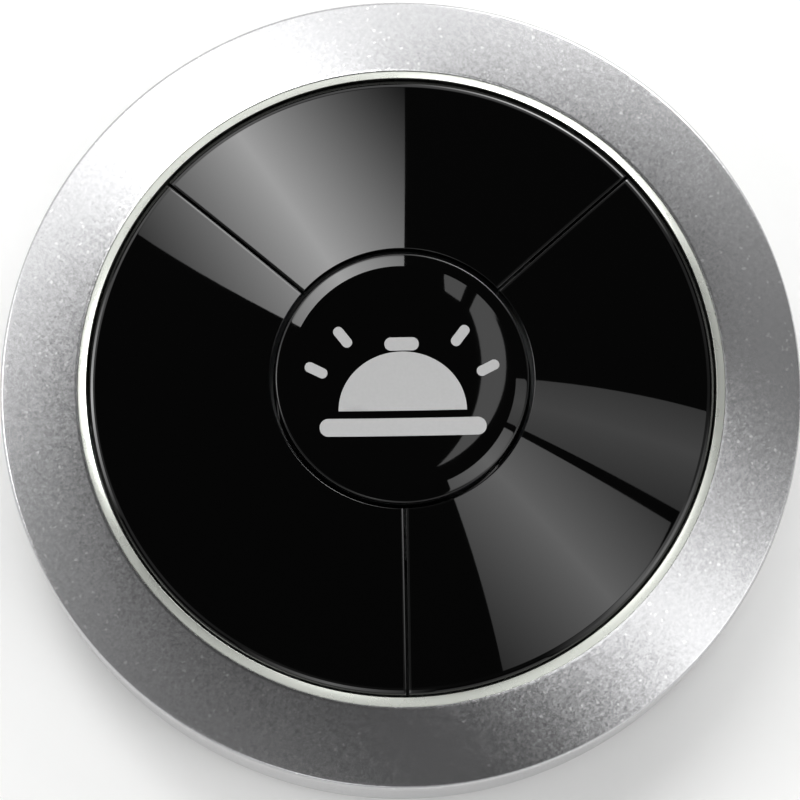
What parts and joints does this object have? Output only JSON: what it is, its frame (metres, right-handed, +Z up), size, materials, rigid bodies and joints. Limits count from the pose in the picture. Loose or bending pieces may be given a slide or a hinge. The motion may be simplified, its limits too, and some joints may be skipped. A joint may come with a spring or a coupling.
{
  "type": "waiter call button",
  "caption": "Round wireless waiter call button with a sloping silver ring, a domed gloss black face in sectors, and a sprung push button in the middle.",
  "frame": {"origin": "on the table, under the middle of the unit", "axes": "+Z up out of the face, -Y towards the guest, +X to the guest's right"},
  "size_m": [0.085, 0.085, 0.0206],
  "materials": {
    "silver_ring": "moulded ABS with sparkling silver paint",
    "bright_trim": "bright turned aluminium",
    "gloss_black": "polished black acrylic",
    "button_black": "polished black acrylic with a printed pale bell",
    "light_guide": "clear polycarbonate",
    "inner_plastic": "moulded black ABS",
    "keypad_silicone": "translucent silicone",
    "carbon_pill": "carbon-filled silicone",
    "board_laminate": "glass-filled laminate with green solder mask",
    "gold_pads": "gold-plated copper",
    "led_package": "clear resin",
    "copper_loop": "copper trace",
    "chip_package": "moulded epoxy",
    "metal_can": "nickel-plated steel",
    "ceramic_parts": "ceramic",
    "spring_metal": "nickel-plated spring strip",
    "cell_metal": "nickel-plated can",
    "base_plastic": "textured black ABS",
    "seal_rubber": "moulded rubber",
    "foot_rubber": "soft matt rubber",
    "screw_steel": "zinc-plated steel"
  },
  "bodies": {
    "housing": {"outer_ring": "silver_ring", "inner_trim_ring": "bright_trim", "top_face_panel": "gloss_black", "left_face_panel": "gloss_black", "right_face_panel": "gloss_black", "light_guide_ring": "light_guide", "face_carrier": "inner_plastic", "silicone_keypad": "keypad_silicone", "circuit_board": "board_laminate", "key_contact_pads": "gold_pads", "indicator_leds": "led_package", "loop_antenna": "copper_loop", "encoder_chip": "chip_package", "saw_resonator": "metal_can", "rf_transistor": "chip_package", "chip_parts": "ceramic_parts", "battery_holder": "inner_plastic", "battery_negative_contact": "spring_metal", "battery_positive_contact": "spring_metal", "coin_cell": "cell_metal", "base_cover": "base_plastic", "housing_seal": "seal_rubber", "rubber_feet": "foot_rubber", "base_screws": "screw_steel", "board_screws": "screw_steel"},
    "call_button": {"call_button_cap": "button_black", "contact_pill": "carbon_pill"},
    "door": {"battery_door": "base_plastic", "door_seal": "seal_rubber"}
  },
  "joints": [
    {"name": "button_press", "type": "slide", "parent": "housing", "child": "call_button", "axis": [0, 0, -1], "range_m": [0, 0.0008], "stiffness_N_per_m": 1200, "springref_m": -0.0004, "deforming": ["silicone_keypad"]},
    {"name": "door_turn", "type": "hinge", "parent": "housing", "child": "door", "pos_m": [0, 0, 0.002], "axis": [0, 0, -1], "range_deg": [0, 45]}
  ]
}
